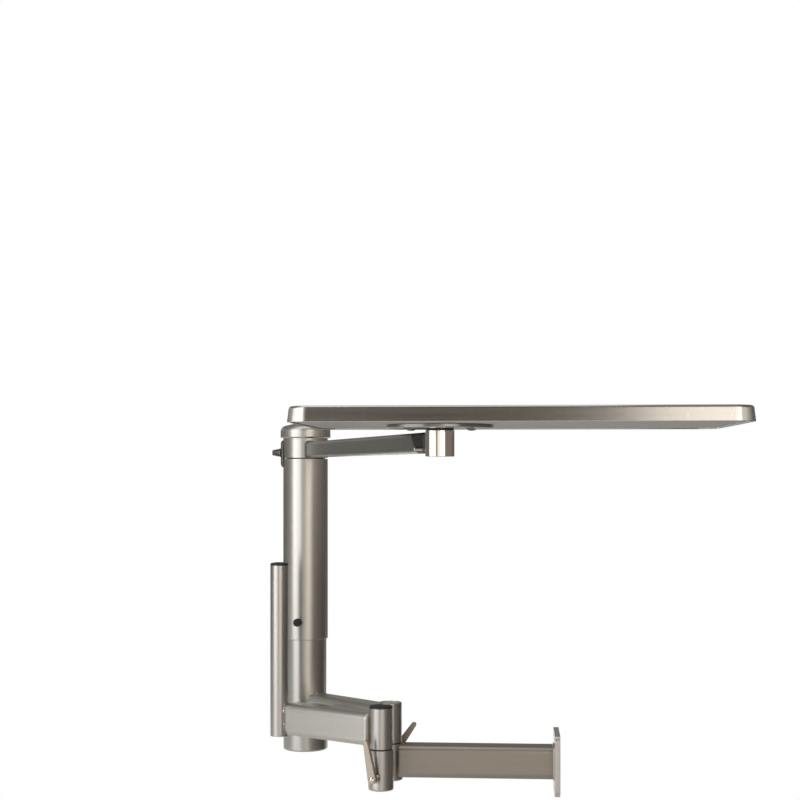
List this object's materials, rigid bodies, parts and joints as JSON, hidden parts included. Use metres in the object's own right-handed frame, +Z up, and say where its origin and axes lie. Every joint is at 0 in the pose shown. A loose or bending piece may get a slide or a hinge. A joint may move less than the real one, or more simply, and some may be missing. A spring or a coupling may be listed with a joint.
{
  "type": "instrument table",
  "caption": "Stainless swivel tray on a long level arm, carried by a clamped telescoping column on a pivoted bar, with a second pivoted bar holding a bare round post.",
  "frame": {"origin": "centre of the base flange's outer face", "axes": "+X out of the base flange, away from the table; +Z up; the tray lies towards -Y"},
  "size_m": [0.6252, 0.8717, 0.5479],
  "materials": {
    "brushed_steel": "satin stainless steel, brushed along the piece",
    "polished_steel": "turned and polished stainless steel",
    "dark_steel": "dark machined steel",
    "bronze": "plain sintered bronze",
    "black_plastic": "moulded black plastic",
    "core_board": "raw core board, closed in by the tray"
  },
  "bodies": {
    "base": {"base_flange": "brushed_steel", "base_arm": "brushed_steel", "barrel_bridge": "brushed_steel", "rear_lower_barrel": "brushed_steel", "front_lower_barrel": "brushed_steel", "rear_bush": "bronze", "front_bush": "bronze", "rear_clamp_pad": "bronze", "front_clamp_pad": "bronze", "rear_thrust_washer": "black_plastic", "front_thrust_washer": "black_plastic"},
    "table_arm": {"rear_upper_barrel": "brushed_steel", "rear_barrel_cap": "polished_steel", "rear_spindle": "dark_steel", "rear_bar": "brushed_steel", "column_inner_tube": "brushed_steel", "column_foot_cap": "brushed_steel", "inner_tube_plug": "black_plastic"},
    "accessory_arm": {"front_upper_barrel": "brushed_steel", "front_barrel_cap": "black_plastic", "front_spindle": "dark_steel", "front_bar": "brushed_steel", "accessory_post": "brushed_steel", "post_cap": "black_plastic"},
    "column_sleeve": {"column_outer_tube": "brushed_steel", "height_clamp_boss": "brushed_steel", "head_spigot": "dark_steel", "head_thrust_washer": "bronze", "head_retaining_nut": "dark_steel"},
    "height_clamp": {"height_knob": "black_plastic", "height_stud": "dark_steel"},
    "arm_head": {"head_collar": "brushed_steel", "head_bush": "bronze", "head_cap": "brushed_steel", "top_arm": "brushed_steel", "arm_end_block": "black_plastic", "arm_neck": "brushed_steel", "neck_pin": "polished_steel", "tray_boss": "polished_steel", "boss_bush": "bronze", "plunger_pad": "brushed_steel"},
    "plunger": {"plunger_knob": "dark_steel", "plunger_pin": "polished_steel"},
    "tray": {"tray_pan": "brushed_steel", "tray_underside": "brushed_steel", "tray_core": "core_board", "tray_backing_plate": "dark_steel", "mounting_disc": "polished_steel", "tray_spindle": "dark_steel", "tray_washer": "black_plastic", "spindle_retainer": "dark_steel", "disc_screw_1": "dark_steel", "disc_screw_2": "dark_steel", "disc_screw_3": "dark_steel", "disc_screw_4": "dark_steel"},
    "front_lever": {"front_lever_handle": "brushed_steel", "front_lever_stud": "polished_steel"},
    "rear_lever": {"rear_lever_handle": "brushed_steel", "rear_lever_stud": "polished_steel"}
  },
  "joints": [
    {"name": "table_arm_swing", "type": "hinge", "parent": "base", "child": "table_arm", "pos_m": [-0.25, 0, 0.0246], "axis": [0, 0, 1], "range_deg": [-30, 0]},
    {"name": "accessory_arm_swing", "type": "hinge", "parent": "base", "child": "accessory_arm", "pos_m": [-0.25948, -0.05377, 0.0246], "axis": [0, 0, 1], "range_deg": [0, 25]},
    {"name": "column_slide", "type": "slide", "parent": "table_arm", "child": "column_sleeve", "axis": [0, 0, 1], "range_m": [-0.08, 0.09]},
    {"name": "height_knob_turn", "type": "hinge", "parent": "column_sleeve", "child": "height_clamp", "pos_m": [-0.39365, 0.12844, 0.1939], "axis": [-0.1564, -0.9877, 0], "range_deg": [0, 180]},
    {"name": "arm_swivel", "type": "hinge", "parent": "column_sleeve", "child": "arm_head", "pos_m": [-0.39365, 0.12844, 0.4491], "axis": [0, 0, 1], "continuous": true},
    {"name": "tray_swivel", "type": "hinge", "parent": "arm_head", "child": "tray", "pos_m": [-0.15239, -0.54207, 0.4753], "axis": [0, 0, 1], "continuous": true},
    {"name": "plunger_pull", "type": "slide", "parent": "arm_head", "child": "plunger", "axis": [-1, 0, 0], "range_m": [0, 0.006], "stiffness_N_per_m": 400, "springref_m": -0.004},
    {"name": "front_lever_turn", "type": "hinge", "parent": "base", "child": "front_lever", "pos_m": [-0.25948, -0.05377, -0.014], "axis": [-0.3256, -0.9455, 0], "range_deg": [-60, 0]},
    {"name": "rear_lever_turn", "type": "hinge", "parent": "base", "child": "rear_lever", "pos_m": [-0.25, 0, 0.0045], "axis": [0.1045, 0.9945, 0], "range_deg": [0, 45]}
  ]
}
